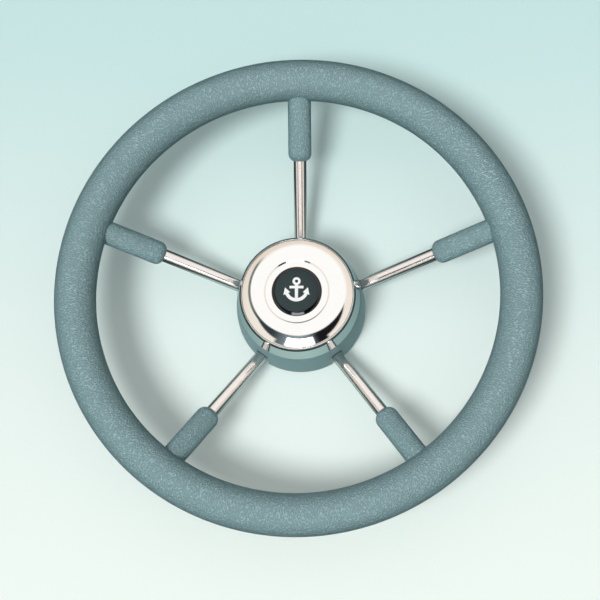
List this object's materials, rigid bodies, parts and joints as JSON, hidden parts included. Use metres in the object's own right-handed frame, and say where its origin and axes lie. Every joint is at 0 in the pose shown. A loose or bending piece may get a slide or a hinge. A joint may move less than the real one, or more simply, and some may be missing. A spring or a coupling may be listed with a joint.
{
  "type": "boat steering wheel",
  "caption": "Boat steering wheel with a soft grey foam rim, polished spokes and a domed hub with a black cap.",
  "frame": {"origin": "centre of the hub's rear face, where the wheel seats on the helm", "axes": "+Z along the shaft axis toward the driver, +Y along the first spoke, which is the top one when the helm is centred"},
  "size_m": [0.35, 0.35, 0.0751],
  "materials": {
    "foam": "grained soft foam skin",
    "steel": "polished stainless steel",
    "inner_steel": "turned stainless steel",
    "shroud": "satin moulded plastic",
    "inner_plastic": "plain moulded plastic",
    "cap": "gloss black",
    "cap_disc": "dark grey print under a clear coat",
    "seal": "black nitrile"
  },
  "bodies": {
    "root": {"foam_rim": "foam", "rim_core": "inner_steel", "spoke_1": "steel", "spoke_2": "steel", "spoke_3": "steel", "spoke_4": "steel", "spoke_5": "steel", "hub_boss": "inner_steel", "rear_shroud": "shroud", "hub_collar": "steel", "hub_dome": "steel", "cover_carrier": "inner_plastic", "boss_screws": "inner_steel", "cover_screws": "inner_steel", "cap_bezel": "cap", "cap_face": "cap_disc", "cap_seal": "seal"}
  },
  "joints": []
}
